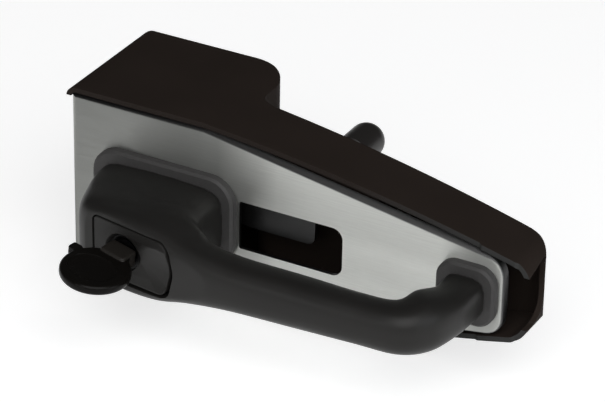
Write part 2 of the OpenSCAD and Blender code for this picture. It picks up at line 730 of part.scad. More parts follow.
module lock_tail() {
    start = boss_tube_l + 3 + seat_gap;
    color([0.62, 0.62, 0.60]) at_lock() difference() {
        union() {
            bar_y(0, 0, start, start + 3, 8.6);
            for (x = [5.5, -8.3]) translate([x, start, -tail_t / 2]) cube([2.8, 10, tail_t]);
            translate([-8.3, start + 7, -tail_t / 2]) cube([16.6, 3, tail_t]);
            translate([-tail_w / 2, start + 9, -tail_t / 2]) cube([tail_w, tail_end - start - 9, tail_t]);
        }
        translate([-3.05, start - cut, -3.05]) cube([6.1, 3 + 2 * cut, 6.1]);
    }
}

module tail_clip() {
    color([0.55, 0.55, 0.53]) at_lock() translate([0, tail_clip_y + 0.1, 0])
        rotate([0, 90, 0]) clip(2.8, 5.2, 1, 3.6);
}

module key_blade() {
    blade_w = 8.4;
    blade_t = 2.2;
    color([0.66, 0.65, 0.60]) at_lock() difference() {
        translate([-blade_w / 2, -4, -blade_t / 2]) cube([blade_w, lock_recess + keyway_l + 3, blade_t]);
        // Tip and cuts
        for (s = [-1, 1]) translate([s * blade_w / 2, lock_recess + keyway_l - 1, 0]) rotate([0, 0, 45])
            cube([4, 4, 2 * blade_t], center = true);
        for (i = [0 : 4]) translate([blade_w / 2 + 1.3 - 0.25 * (i % 3), lock_recess + 4 + 3.1 * i, -blade_t])
            cylinder(r = 2.2, h = 2 * blade_t, $fn = 4);
    }
}

bow_y = -19.4;

module key_head() {
    neck_w = 10.4;
    neck_t = 6.4;
    color([0.05, 0.045, 0.04]) at_lock() difference() {
        union() {
            // Rounded disc
            translate([-2, bow_y, 0]) rotate_extrude($fn = 64) intersection() {
                translate([0, -key_t / 2]) square([key_d / 2, key_t]);
                union() {
                    translate([0, -key_t / 2]) square([key_d / 2 - 2.4, key_t]);
                    translate([key_d / 2 - 2.4, 0]) circle(r = 2.6, $fn = 24);
                }
            }
            translate([-neck_w / 2, bow_y + 6, -neck_t / 2])
                cube([neck_w, -bow_y - 6 + lock_recess - 0.2, neck_t]);
            // Loop lug beside the disc
            translate([-2 - key_d / 2 + 4.6, bow_y + key_d / 2 - 7.8, 0])
                cylinder(r = 4.6, h = key_t - 1.4, center = true);
        }
        // Shallow dish in each side of the disc
        for (s = [-1, 1]) translate([-2, bow_y - 1, s * (key_t / 2 + 24.4)]) sphere(r = 25, $fn = 96);
        translate([-4.3, -4.1, -1.2]) cube([8.6, lock_recess + 5, 2.4]);
    }
}

// Rotary latch

module case_plate() {
    color([0.60, 0.61, 0.58]) difference() {
        slab_x(case_x, case_t) difference() {
            rounded_outline([[case_y0, -case_bottom], [case_y1, -case_bottom], [case_y1, case_shoulder],
                [case_y1 - case_slope, case_top], [case_y0 + case_slope, case_top], [case_y0, case_shoulder]],
                [5, 5, 6, 6, 6, 6]);
            mouth(mouth_w / 2, flange_d + cut);
            // Way of the pawl's stud
            translate([stud_y - 1.3, stud_z - 0.6]) rounded_rect(stud_d + 4.4, stud_d + 3, stud_d / 2 + 1);
        }
        bar_x(rotor_y, rotor_z, case_x - cut, case_x + case_t + cut, rotor_pin_d / 2);
        bar_x(pawl_y, -pawl_z, case_x - cut, case_x + case_t + cut, pawl_pin_d / 2);
        for (s = spacer_places) bar_x(s[0], s[1], case_x - cut, case_x + case_t + cut, spacer_rivet_r);
    }
}

module case_spacers() {
    rivet = spacer_rivet_r - seat_gap;
    color([0.55, 0.55, 0.53]) for (s = spacer_places) {
        bar_x(s[0], s[1], sheet_t + seat_gap, case_x - seat_gap, spacer_r);
        bar_x(s[0], s[1], 0.2, case_x + case_t + seat_gap, rivet);
        bar_x(s[0], s[1], case_x + case_t + seat_gap, case_x + case_t + 1.4, spacer_r - 0.4);
    }
}

// A pin with a shoulder head inside the cover
module case_pin(y, z, d) {
    bar_x(y, z, 0.2, case_x + case_t + 7, d / 2 - seat_gap);
    bar_x(y, z, case_x + case_t + 7, case_x + case_t + 7 + pin_head_t, d / 2 + 1.6);
}

module rotor_pin() color([0.55, 0.55, 0.53]) case_pin(rotor_y, rotor_z, rotor_pin_d);
module pawl_pin() color([0.55, 0.55, 0.53]) case_pin(pawl_y, -pawl_z, pawl_pin_d);

// Rotor in its closed position about its own pivot, with its slot towards -Z
module rotor_outline() {
    slot_half = mouth_w / 2 - 0.25;
    jaw_a = 35;
    difference() {
        union() {
            circle(r = rotor_r - 0.3);
            intersection() {
                circle(r = jaw_r);
                polygon([[0, 0], 2 * jaw_r * [-sin(jaw_a), -cos(jaw_a)], [0, -2 * jaw_r],
                    2 * jaw_r * [sin(jaw_a), -cos(jaw_a)]]);
            }
        }
        translate([0, -rotor_z]) circle(r = slot_half);
        translate([-slot_half, -rotor_z - jaw_r]) square([2 * slot_half, jaw_r]);
        circle(r = rotor_pin_d / 2 + pin_gap);
        // Step that the pawl holds
        intersection() {
            polygon([[0, 0], [-2 * rotor_r, 0], 2 * rotor_r * [-cos(28), -sin(28)]]);
            difference() {
                circle(r = rotor_r + cut);
                circle(r = rotor_r - 2.6);
            }
        }
    }
}

module rotor() {
    color([0.50, 0.50, 0.48]) slab_x(rotor_x, rotor_t) translate([rotor_y, rotor_z])
        rotate(rotor_turn) rotor_outline();
}

nose_z = rotor_z - 0.4;

module pawl() {
    top = nose_z;
    color([0.50, 0.50, 0.48]) difference() {
        slab_x(rotor_x, rotor_t) union() {
            translate([pawl_y, -pawl_z]) circle(r = 7);
            difference() {
                polygon([[pawl_y - 6.6, -pawl_z - 2], [pawl_y + 6.6, -pawl_z - 2], [pawl_y + 3, -1],
                    [rotor_y - rotor_r + 1, top - 8], [rotor_y - rotor_r + 1, top],
                    [rotor_y - rotor_r - 7, top], [rotor_y - rotor_r - 10.4, top - 7], [stud_y - 5, -2]]);
                translate([rotor_y, rotor_z]) circle(r = rotor_r);
            }
        }
        bar_x(pawl_y, -pawl_z, 0, case_x + cut, pawl_pin_d / 2 + pin_gap);
        bar_x(stud_y, stud_z, 0, case_x + cut, stud_d / 2 - 0.3);
    }
}

module pawl_stud() {
    color([0.55, 0.55, 0.53]) {
        bar_x(stud_y, stud_z, rotor_x, rotor_x + rotor_t + seat_gap, stud_d / 2 - 0.3 - seat_gap);
        bar_x(stud_y, stud_z, rotor_x + rotor_t + seat_gap, stud_end, stud_d / 2);
    }
}

module rotor_spring() {
    wire = 1.4;
    color([0.6, 0.6, 0.58]) translate([case_x + case_t + 0.2, rotor_y, rotor_z]) rotate([0, 90, 0])
        coil(rotor_pin_d / 2 + 1.8, wire, 3, 6.6);
}

module pawl_spring() {
    wire = 1.1;
    color([0.6, 0.6, 0.58]) translate([case_x + case_t + 0.2, pawl_y, -pawl_z]) rotate([0, 90, 0])
        coil(pawl_pin_d / 2 + 1.4, wire, 4, 6.6);
}

// Release lever

bracket_h = 3 * bracket_t;

module lever_bracket() {
    reach_y = lever_y + eye_r;
    color([0.60, 0.61, 0.58]) difference() {
        union() {
            for (z = [ear_gap, -ear_gap - bracket_t]) translate([0, 0, z]) linear_extrude(bracket_t)
                rounded_outline([[lever_x - 6, sheet_t], [lever_x + 6, sheet_t], [lever_x + 5, reach_y],
                    [lever_x - 5, reach_y]], [0, 0, 4.4, 4.4]);
            translate([lever_x - 6, sheet_t, -ear_gap - cut]) cube([12, bracket_t, 2 * ear_gap + 2 * cut]);
        }
        translate([lever_x, lever_y, -20]) cylinder(d = lever_pin_d, h = 40);
    }
}

module release_lever() {
    front = lever_y - lever_t / 2;
    tail_x = lock_x + (lock_y + front) * tan(face_a);
    color([0.60, 0.61, 0.58]) difference() {
        union() {
            slab_y(front, lever_t) rounded_outline(
                [[lever_x - 20, -4], [lever_x - 4, -7], [window_x - 12, -6], [window_x, -7.5],
                 [knob_x + 6, -7.5], [knob_x + 7, knob_z + 8], [knob_x - 8, knob_z + 8],
                 [window_x + 4, 9], [window_x - 8, 6], [lever_x - 4, 7], [lever_x - 20, 7]],
                [2, 6, 5, 4, 4, 6, 6, 6, 5, 6, 2]);
            translate([lever_x, lever_y, -ear_gap + slide_gap])
                cylinder(r = eye_r, h = ear_gap - slide_gap + 3);
            slab_y(front, lever_t) translate([tail_x, 0]) circle(r = tail_w);
            // Nubs that the lock's tail pushes while the latch is unlocked
            for (s = [-1, 1]) bar_y(tail_x + s * 0.37 * tail_w, 0, front - nub_h, front + 1, 1.3);
        }
        // Slot that the tail enters when the key has turned it upright
        slab_y(front - nub_h - cut, lever_t + nub_h + 2 * cut) translate([tail_x, 0])
            rounded_rect(tail_t + 1.2, tail_w + 2.4, 1);
        translate([lever_x, lever_y, -20]) cylinder(r = lever_pin_d / 2 + pin_gap, h = 40);
        translate([lever_x - 8, 0, 3]) cube([16, 40, 12]);
        bar_y(knob_x, knob_z, 0, 40, stalk_d / 2 - 2);
    }
}

module lever_pin() {
    color([0.55, 0.55, 0.53]) translate([lever_x, lever_y, 0]) {
        translate([0, 0, -ear_gap - bracket_t - 1])
            cylinder(d = lever_pin_d - 2 * seat_gap, h = 2 * (ear_gap + bracket_t + 1));
        translate([0, 0, ear_gap + bracket_t + seat_gap]) cylinder(r = lever_pin_d / 2 + 1.4, h = 1.4);
    }
}

module lever_spring() {
    color([0.6, 0.6, 0.58]) translate([lever_x, lever_y, 3.3])
        coil(lever_pin_d / 2 + 1.4, 1, 3.5, ear_gap - 3.6);
}

module knob_stalk() {
    back = lever_y + lever_t / 2;
    color([0.35, 0.35, 0.34]) {
        bar_y(knob_x, knob_z, back + seat_gap, knob_y - knob_l - seat_gap, stalk_d / 2);
        bar_y(knob_x, knob_z, back - lever_t - 1, back + seat_gap, stalk_d / 2 - 2 - seat_gap);
        bar_y(knob_x, knob_z, knob_y - knob_l - seat_gap, knob_y - 4 - seat_gap, 3);
    }
}

module knob() {
    r = knob_d / 2;
    bevel = 1.4;
    color([0.15, 0.14, 0.14]) translate([knob_x, knob_y, knob_z]) rotate([-90, 0, 0])
        // Smooth barrel that ends in a dome, with a socket for the stalk
        rotate_extrude($fn = 64) polygon(concat(
            [[0, -4], [3 + seat_gap, -4], [3 + seat_gap, -knob_l], [r - bevel, -knob_l], [r, bevel - knob_l]],
            [for (a = [0 : 7.5 : 82.5]) [r * cos(a), r * sin(a)]], [[0, r]]));
}

in_door() mounting_plate();
in_door() fixing_nuts();
in_door() plate_standoffs();
in_door() cover();
in_door() cover_screws();
in_door() grab_handle();
in_door() handle_inserts();
in_door() handle_screws();
in_door() handle_washers();
in_door() left_gasket();
in_door() right_gasket();
in_door() push_button();
in_door() button_spring();
in_door() button_clip();
in_door() lock_housing();
in_door() lock_plug();
in_door() lock_tail();
in_door() tail_clip();
in_door() key_blade();
in_door() key_head();
in_door() case_plate();
in_door() case_spacers();
in_door() rotor();
in_door() rotor_pin();
in_door() rotor_spring();
in_door() pawl();
in_door() pawl_stud();
in_door() pawl_pin();
in_door() pawl_spring();
in_door() lever_bracket();
in_door() release_lever();
in_door() lever_pin();
in_door() lever_spring();
in_door() knob_stalk();
in_door() knob();
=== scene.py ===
"""Looks of a rotary door latch with a grab handle, dressed over its construction model."""

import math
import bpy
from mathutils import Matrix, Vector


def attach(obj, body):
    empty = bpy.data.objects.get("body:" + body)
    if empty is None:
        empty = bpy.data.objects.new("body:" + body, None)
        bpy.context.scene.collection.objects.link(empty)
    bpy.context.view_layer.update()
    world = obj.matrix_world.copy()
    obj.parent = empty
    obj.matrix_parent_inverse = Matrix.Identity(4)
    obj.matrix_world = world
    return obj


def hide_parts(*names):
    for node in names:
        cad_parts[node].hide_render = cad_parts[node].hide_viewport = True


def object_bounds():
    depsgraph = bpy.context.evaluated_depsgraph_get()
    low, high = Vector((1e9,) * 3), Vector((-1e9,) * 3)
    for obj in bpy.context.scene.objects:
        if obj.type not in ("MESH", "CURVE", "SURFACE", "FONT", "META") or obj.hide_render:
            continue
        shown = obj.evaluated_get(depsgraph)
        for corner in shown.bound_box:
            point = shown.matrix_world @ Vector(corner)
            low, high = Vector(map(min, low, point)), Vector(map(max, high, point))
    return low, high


bl_info = {
    "name": "Rotary Door Latch",
    "version": (1, 0, 0),
    "blender": (4, 5, 0),
    "location": "View3D > Sidebar > Latch",
    "description": "Builds the finish and the moulded pieces of a rotary door latch",
    "category": "Object",
}

import bmesh
import bpy
from bpy.props import (
    FloatProperty,
    FloatVectorProperty,
    IntProperty,
    PointerProperty,
)
from bpy.types import Operator, Panel, PropertyGroup
from mathutils import Matrix, Vector

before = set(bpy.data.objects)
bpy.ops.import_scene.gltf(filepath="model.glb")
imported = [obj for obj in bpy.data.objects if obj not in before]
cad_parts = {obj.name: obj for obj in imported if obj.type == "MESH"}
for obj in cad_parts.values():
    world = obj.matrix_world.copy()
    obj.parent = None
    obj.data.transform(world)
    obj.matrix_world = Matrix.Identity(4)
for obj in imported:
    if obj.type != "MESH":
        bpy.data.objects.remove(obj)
cad_low, cad_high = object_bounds()

MM = 0.001
# Distance from the plate's face back to the origin, the middle of the bolt pattern
ORIGIN_Y = 34.0
# Vertices nearer than this are one
WELD_GAP = 0.02 * MM


# Sizes and colours that a user would change


class StageSettings(PropertyGroup):
    """Camera, lamps and floor"""

    azimuth: FloatProperty(
        name="Azimuth",
        description="Turn of the camera round the latch",
        default=math.radians(28.19),
        subtype="ANGLE",
    )
    elevation: FloatProperty(
        name="Elevation",
        description="Height of the camera as an angle",
        default=math.radians(29.15),
        subtype="ANGLE",
    )
    roll: FloatProperty(
        name="Roll", description="Tilt of the picture", default=math.radians(-1.08), subtype="ANGLE"
    )
    place: FloatVectorProperty(
        name="Place",
        description="Where the camera stands",
        default=(0.7400, -1.1812, 0.7480),
        size=3,
        subtype="TRANSLATION",
        unit="LENGTH",
    )
    lens: FloatProperty(
        name="Lens", description="Focal length in millimetres", default=193.75, min=20.0, max=400.0
    )
    key_power: FloatProperty(
        name="Key lamp", description="Power of the large lamp", default=40.0, min=0.0
    )
    fill_power: FloatProperty(
        name="Fill lamp", description="Power of the side lamp", default=5.0, min=0.0
    )
    side_power: FloatProperty(
        name="Side panel", description="Power of the left panel", default=0.4, min=0.0
    )
    front_power: FloatProperty(
        name="Front panel", description="Power of the front panel", default=1.7, min=0.0
    )
    horizon: FloatProperty(
        name="Horizon", description="Brightness of the backdrop", default=0.08, min=0.0
    )
    zenith: FloatProperty(name="Ceiling", description="Brightness overhead", default=0.06, min=0.0)
    floor_colour: FloatVectorProperty(
        name="Floor",
        description="Colour of the floor",
        default=(0.65, 0.65, 0.65),
        size=3,
        subtype="COLOR",
    )
    floor_glow: FloatProperty(
        name="Floor white",
        description="What lifts the floor to white in the picture",
        default=0.67,
        min=0.0,
    )


class FinishSettings(PropertyGroup):
    """Colours of the finishes"""

    cover: FloatVectorProperty(
        name="Cover",
        description="Moulded cover",
        default=(0.0250, 0.0188, 0.0158),
        size=3,
        subtype="COLOR",
    )
    handle: FloatVectorProperty(
        name="Handle",
        description="Handle and button",
        default=(0.0145, 0.0138, 0.0128),
        size=3,
        subtype="COLOR",
    )
    gasket: FloatVectorProperty(
        name="Gaskets",
        description="Pads under the feet",
        default=(0.0430, 0.0415, 0.0410),
        size=3,
        subtype="COLOR",
    )
    key: FloatVectorProperty(
        name="Key head",
        description="Glossy head of the key",
        default=(0.0048, 0.0042, 0.0036),
        size=3,
        subtype="COLOR",
    )
    knob: FloatVectorProperty(
        name="Knob",
        description="Knob behind the cover",
        default=(0.0180, 0.0160, 0.0150),
        size=3,
        subtype="COLOR",
    )
    steel: FloatVectorProperty(
        name="Plate",
        description="Brushed sheet",
        default=(0.86, 0.875, 0.835),
        size=3,
        subtype="COLOR",
    )
    zinc: FloatVectorProperty(
        name="Plated steel",
        description="Pieces of the latch case",
        default=(0.46, 0.46, 0.44),
        size=3,
        subtype="COLOR",
    )


class HandleSettings(PropertyGroup):
    """Shape of the grab handle"""

    reach: FloatProperty(
        name="Reach", description="Plate to the front of the grip", default=0.0582, unit="LENGTH"
    )
    grip_depth: FloatProperty(
        name="Grip depth", description="Front to back", default=0.0216, unit="LENGTH"
    )
    grip_height: FloatProperty(
        name="Grip height", description="At the block's end", default=0.0248, unit="LENGTH"
    )
    softness: FloatProperty(
        name="Mesh step",
        description="Step of the moulded surface's mesh",
        default=0.0009,
        unit="LENGTH",
    )
    button_gap: FloatProperty(
        name="Button gap", description="Round the button", default=0.0007, unit="LENGTH"
    )


class ButtonSettings(PropertyGroup):
    """Shape of the push button"""

    scoop: FloatProperty(
        name="Scoop", description="Depth of the thumb scoop", default=0.0030, unit="LENGTH"
    )
    edge: FloatProperty(
        name="Edge", description="Roundness of the button's edge", default=0.0008, unit="LENGTH"
    )
    rings: IntProperty(name="Rings", description="Rings of faces in the front", default=34, min=4)


class KeySettings(PropertyGroup):
    """Shape of the key's head"""

    key_across: FloatProperty(
        name="Key head", description="Diameter of the head", default=0.0332, unit="LENGTH"
    )
    key_thick: FloatProperty(
        name="Thickness", description="Thickness of the head", default=0.0052, unit="LENGTH"
    )
    key_turn: FloatProperty(
        name="Turn",
        description="Play by which the key hangs over",
        default=math.radians(7.0),
        subtype="ANGLE",
    )


# Frame of the latch, in millimetres from the plate's face at its flange


def door(x, y, z):
    """A point given in millimetres from the plate's face, in the row frame."""
    return Vector((x, y - ORIGIN_Y, z)) * MM


LOCK_PLACE = (59.0, -50.5, 0.0)
LOCK_TURN = math.radians(9.0)


def lock_matrix():
    """Frame of the lock: X along the flat, Y inwards and Z up."""
    return Matrix.Translation(door(*LOCK_PLACE)) @ Matrix.Rotation(-LOCK_TURN, 4, "Z")


# Meshes


def new_object(name, mesh):
    piece = bpy.data.objects.new(name, mesh)
    bpy.context.scene.collection.objects.link(piece)
    return piece


def mesh_from(name, points, faces, smooth=True):
    """Mesh of points and faces whose normals all point outwards."""
    mesh = bpy.data.meshes.new(name)
    mesh.from_pydata([tuple(p) for p in points], [], faces)
    mesh.validate()
    work = bmesh.new()
    work.from_mesh(mesh)
    bmesh.ops.recalc_face_normals(work, faces=work.faces)
    work.to_mesh(mesh)
    work.free()
    for face in mesh.polygons:
        face.use_smooth = smooth
    return mesh


def apply_modifiers(piece):
    """Turns the piece's modifiers into its mesh."""
    graph = bpy.context.evaluated_depsgraph_get()
    graph.update()
    mesh = bpy.data.meshes.new_from_object(piece.evaluated_get(graph))
    piece.modifiers.clear()
    piece.data = mesh
    return piece


def cut_with(piece, cutter, operation="DIFFERENCE"):
    """Cuts, joins or keeps what a second closed mesh shares, and removes that mesh."""
    step = piece.modifiers.new("Cut", "BOOLEAN")
    step.operation = operation
    step.solver = "EXACT"
    step.object = cutter
    apply_modifiers(piece)
    bpy.data.objects.remove(cutter)
    return piece


def melt_surface(piece, step, passes):
    """Meshes the piece anew in even steps and relaxes its edges, as a moulding's are."""
    anew = piece.modifiers.new("Surface", "REMESH")
    anew.mode = "VOXEL"
    anew.voxel_size = step
    anew.use_smooth_shade = True
    relax = piece.modifiers.new("Relax", "SMOOTH")
    relax.factor = 0.5
    relax.iterations = passes
    apply_modifiers(piece)


def oval(angle, squareness):
    """Point of an oval of unit half axes, whose squareness is 2 for a circle."""
    c, s = math.cos(angle), math.sin(angle)
    power = 2 / squareness
    return math.copysign(abs(c) ** power, c), math.copysign(abs(s) ** power, s)


def smooth_by_angle(piece, angle=32.0):
    """Smooth shading that breaks at sharp edges."""
    weld = piece.modifiers.new("Weld", "WELD")
    weld.merge_threshold = WELD_GAP
    split = piece.modifiers.new("Sharp", "EDGE_SPLIT")
    split.split_angle = math.radians(angle)
    for face in piece.data.polygons:
        face.use_smooth = True


# Finishes


def wired(material):
    """Nodes, links and shader of a material."""
    tree = material.node_tree
    return tree.nodes, tree.links, tree.nodes["Principled BSDF"]


def base_material(name, colour, roughness, metallic=0.0, specular=0.5):
    material = bpy.data.materials.new(name)
    material.use_nodes = True
    shader = wired(material)[2]
    shader.inputs["Base Color"].default_value = (*colour, 1.0)
    shader.inputs["Roughness"].default_value = roughness
    shader.inputs["Metallic"].default_value = metallic
    shader.inputs["Specular IOR Level"].default_value = specular
    return material


def object_coordinates(nodes, links, scale=(1.0, 1.0, 1.0)):
    place = nodes.new("ShaderNodeTexCoord")
    stretch = nodes.new("ShaderNodeMapping")
    stretch.inputs["Scale"].default_value = scale
    links.new(place.outputs["Object"], stretch.inputs["Vector"])
    return stretch.outputs["Vector"]


def noise(nodes, links, vector, scale, detail, roughness):
    grain = nodes.new("ShaderNodeTexNoise")
    grain.inputs["Scale"].default_value = scale
    grain.inputs["Detail"].default_value = detail
    grain.inputs["Roughness"].default_value = roughness
    links.new(vector, grain.inputs["Vector"])
    return grain.outputs["Fac"]


def spread(nodes, links, value, low, high, start=0.3, end=0.7):
    """Maps a value to a range between two others."""
    step = nodes.new("ShaderNodeMapRange")
    step.inputs["From Min"].default_value = start
    step.inputs["From Max"].default_value = end
    step.inputs["To Min"].default_value = low
    step.inputs["To Max"].default_value = high
    links.new(value, step.inputs["Value"])
    return step.outputs["Result"]


def compute(nodes, links, operation, *values):
    """A sum, product or the like of linked values."""
    step = nodes.new("ShaderNodeMath")
    step.operation = operation
    for value, socket in zip(values, step.inputs):
        links.new(value, socket)
    return step.outputs[0]


def axes(nodes, links, vector):
    """The X, Y and Z of a vector."""
    parts = nodes.new("ShaderNodeSeparateXYZ")
    links.new(vector, parts.inputs["Vector"])
    return parts.outputs


def shades(colour, contrast):
    """The colour a share darker and a share lighter."""
    return [c * (1 - contrast) for c in colour], [min(c * (1 + contrast), 1.0) for c in colour]


def blend_over_base(nodes, links, shader, factor, shade):
    """Mixes a plain shade over the base colour where the factor says so."""
    blend = nodes.new("ShaderNodeMix")
    blend.data_type = "RGBA"
    links.new(factor, blend.inputs["Factor"])
    links.new(shader.inputs["Base Color"].links[0].from_socket, blend.inputs["A"])
    blend.inputs["B"].default_value = (*shade, 1.0)
    links.new(blend.outputs["Result"], shader.inputs["Base Color"])


def tint(nodes, links, factor, dark, light):
    """Colour between a dark and a light one."""
    ramp = nodes.new("ShaderNodeValToRGB")
    ramp.color_ramp.elements[0].position = 0.25
    ramp.color_ramp.elements[0].color = (*dark, 1.0)
    ramp.color_ramp.elements[1].position = 0.75
    ramp.color_ramp.elements[1].color = (*light, 1.0)
    links.new(factor, ramp.inputs["Fac"])
    return ramp.outputs["Color"]


def bump(nodes, links, shader, height, strength, distance):
    relief = nodes.new("ShaderNodeBump")
    relief.inputs["Strength"].default_value = strength
    relief.inputs["Distance"].default_value = distance
    links.new(height, relief.inputs["Height"])
    links.new(relief.outputs["Normal"], shader.inputs["Normal"])


def moulded_plastic(name, colour, roughness, grain=0.04 * MM, specular=0.5, edge=0.0):
    """Plastic with the fine eroded grain of its mould, faint shade changes and softly lit edges."""
    material = base_material(name, colour, roughness, specular=specular)
    nodes, links, shader = wired(material)
    where = object_coordinates(nodes, links)
    fine = noise(nodes, links, where, 2600.0, 3.0, 0.6)
    broad = noise(nodes, links, where, 28.0, 3.0, 0.5)
    links.new(tint(nodes, links, broad, *shades(colour, 0.10)), shader.inputs["Base Color"])
    gloss = spread(nodes, links, broad, roughness - 0.04, roughness + 0.04)
    links.new(gloss, shader.inputs["Roughness"])
    bump(nodes, links, shader, fine, 0.35, grain)
    if edge:
        soft = nodes.new("ShaderNodeBevel")
        soft.samples = 6
        soft.inputs["Radius"].default_value = edge
        relief = shader.inputs["Normal"].links[0].from_node
        links.new(soft.outputs["Normal"], relief.inputs["Normal"])
    return material


def brushed_steel(name, colour, roughness, along, anisotropic):
    """Sheet with fine lines from brushing, drawn out along the axes of small scale."""
    material = base_material(name, colour, roughness, metallic=1.0)
    nodes, links, shader = wired(material)
    shader.inputs["Anisotropic"].default_value = anisotropic
    across = nodes.new("ShaderNodeTangent")
    across.direction_type = "RADIAL"
    across.axis = "X"
    links.new(across.outputs["Tangent"], shader.inputs["Tangent"])
    where = object_coordinates(nodes, links, along)
    lines = noise(nodes, links, where, 1500.0, 3.0, 0.65)
    links.new(tint(nodes, links, lines, *shades(colour, 0.08)), shader.inputs["Base Color"])
    gloss = spread(nodes, links, lines, roughness - 0.05, roughness + 0.06)
    links.new(gloss, shader.inputs["Roughness"])
    bump(nodes, links, shader, lines, 0.15, 0.02 * MM)
    return material


def painted_rim_shade(material, shade=(0.10, 0.10, 0.10)):
    """Paints shade over the rolled rim and the cut edges that face up, down or to the right, in
    place of the shadow between sheet and cover.
    """
    nodes, links, shader = wired(material)
    facing = axes(nodes, links, nodes.new("ShaderNodeNewGeometry").outputs["Normal"])
    upright = compute(nodes, links, "ABSOLUTE", facing["Z"])
    turned = compute(nodes, links, "MAXIMUM", upright, facing["X"])
    blend_over_base(nodes, links, shader, spread(nodes, links, turned, 0.0, 1.0, 0.2, 0.6), shade)


def painted_lip_light(material, shade=(0.046, 0.046, 0.045)):
    """Painted light: lightens the cut lip that faces outwards, more so towards the narrow end."""
    nodes, links, shader = wired(material)
    facing = axes(nodes, links, nodes.new("ShaderNodeNewGeometry").outputs["True Normal"])
    place = axes(nodes, links, object_coordinates(nodes, links))
    outward = spread(nodes, links, facing["Y"], 1.0, 0.0, -0.7, -0.5)
    # Distances along the row and across it, in metres
    along = spread(nodes, links, place["X"], 0.1, 1.0, 0.15, 0.215)
    front = spread(nodes, links, place["Y"], 1.0, 0.0, -0.028, -0.024)
    level = compute(nodes, links, "MULTIPLY", outward, along)
    level = compute(nodes, links, "MULTIPLY", level, front)
    blend_over_base(nodes, links, shader, level, shade)


def painted_end_shade(material, wide_end, narrow_end, wide_share, narrow_share):
    """Painted reflection shade: darkens the sheet's colour towards the flange and, less, towards
    the narrow end of the sheet.
    """
    nodes, links, shader = wired(material)
    place = axes(nodes, links, object_coordinates(nodes, links))
    wide = spread(nodes, links, place["X"], wide_share, 1.0, *wide_end)
    narrow = spread(nodes, links, place["X"], 1.0, narrow_share, *narrow_end)
    blend = nodes.new("ShaderNodeMix")
    blend.data_type, blend.blend_type = "RGBA", "MULTIPLY"
    blend.inputs["Factor"].default_value = 1.0
    links.new(shader.inputs["Base Color"].links[0].from_socket, blend.inputs["A"])
    links.new(compute(nodes, links, "MULTIPLY", wide, narrow), blend.inputs["B"])
    links.new(blend.outputs["Result"], shader.inputs["Base Color"])


def plated_metal(name, colour, roughness):
    """Plated or turned metal with a faint cloudy shade."""
    material = base_material(name, colour, roughness, metallic=1.0)
    nodes, links, shader = wired(material)
    where = object_coordinates(nodes, links)
    cloud = noise(nodes, links, where, 160.0, 5.0, 0.6)
    links.new(tint(nodes, links, cloud, *shades(colour, 0.12)), shader.inputs["Base Color"])
    gloss = spread(nodes, links, cloud, roughness - 0.06, roughness + 0.08)
    links.new(gloss, shader.inputs["Roughness"])
    return material


def rubber(name, colour, roughness=0.62):
    """Rubber with a fine dusty shade and grain."""
    material = base_material(name, colour, roughness, specular=0.4)
    nodes, links, shader = wired(material)
    where = object_coordinates(nodes, links)
    dust = noise(nodes, links, where, 420.0, 5.0, 0.65)
    dark, light = [c * 0.88 for c in colour], [c * 1.14 for c in colour]
    links.new(tint(nodes, links, dust, dark, light), shader.inputs["Base Color"])
    bump(nodes, links, shader, dust, 0.25, 0.05 * MM)
    return material


def finish(piece, material):
    piece.data.materials.clear()
    piece.data.materials.append(material)


def finish_nodes(names, material, angle=32.0):
    """Finishes pieces that keep the mesh of the construction model."""
    for name in names:
        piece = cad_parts[name]
        smooth_by_angle(piece, angle)
        finish(piece, material)


def named(name):
    """A finish that an earlier operator has made."""
    return bpy.data.materials[name]


# Shared finishes and the plate


class LATCH_OT_finishes(Operator):
    """Makes the finishes that several pieces share"""

    bl_idname = "latch.finishes"
    bl_label = "Shared finishes"

    def execute(self, context):
        colours = context.scene.latch_finish
        moulded_plastic("Handle plastic", colours.handle, 0.42, specular=0.25)
        plated_metal("Plated steel", colours.zinc, 0.34)
        plated_metal("Spring wire", (0.42, 0.42, 0.41), 0.25)
        plated_metal("Turned brass", (0.62, 0.47, 0.22), 0.30)
        plated_metal("Blackened steel", (0.05, 0.05, 0.05), 0.42)
        plated_metal("Dark die casting", (0.016, 0.016, 0.016), 0.5)
        return {"FINISHED"}


class LATCH_OT_plate(Operator):
    """Finishes the brushed plate and what is fixed to its back"""

    bl_idname = "latch.plate"
    bl_label = "Plate"

    def execute(self, context):
        colours = context.scene.latch_finish
        lines_along_x = (0.03, 1.0, 1.0)
        steel = brushed_steel("Brushed sheet", colours.steel, 0.42, lines_along_x, anisotropic=1.0)
        # Where the painted shade changes along the row, in metres
        wide_end, narrow_end = (0.080, 0.112), (0.196, 0.214)
        # Painted shade on the sheet, darker towards the flange and less so towards the narrow end
        painted_end_shade(steel, wide_end, narrow_end, wide_share=0.46, narrow_share=0.6)
        # Painted shade on the rim and the cut edges
        painted_rim_shade(steel)
        finish_nodes(["mounting_plate"], steel, 28.0)
        finish_nodes(["fixing_nuts", "plate_standoffs", "handle_washers"], named("Plated steel"))
        finish_nodes(["handle_screws"], named("Blackened steel"))
        return {"FINISHED"}


def rounded_path(corners):
    """Points along an outline of (x, y, radius) corners, rounded by curves through each corner."""
    points, steps = [], 8
    for i, (x, y, r) in enumerate(corners):
        here = Vector((x, y))
        before = Vector(corners[i - 1][:2]) - here
        after = Vector(corners[(i + 1) % len(corners)][:2]) - here
        if r == 0:
            points.append(here)
            continue
        start, end = here + before.normalized() * r, here + after.normalized() * r
        for k in range(steps + 1):
            t = k / steps
            points.append(start * (1 - t) ** 2 + here * 2 * t * (1 - t) + end * t**2)
    return points


# Notch in the cover's end wall as (depth, height, radius) corners, and where its cutter ends in X
NOTCH_CORNERS = [
    (-1, -13.5, 0), (9.5, -13.5, 5), (21.5, -1.5, 6), (21.5, 16.5, 4), (1.5, 13.5, 0), (-1, 13.5, 0)
]
NOTCH_ENDS = (226.5, 242.5)
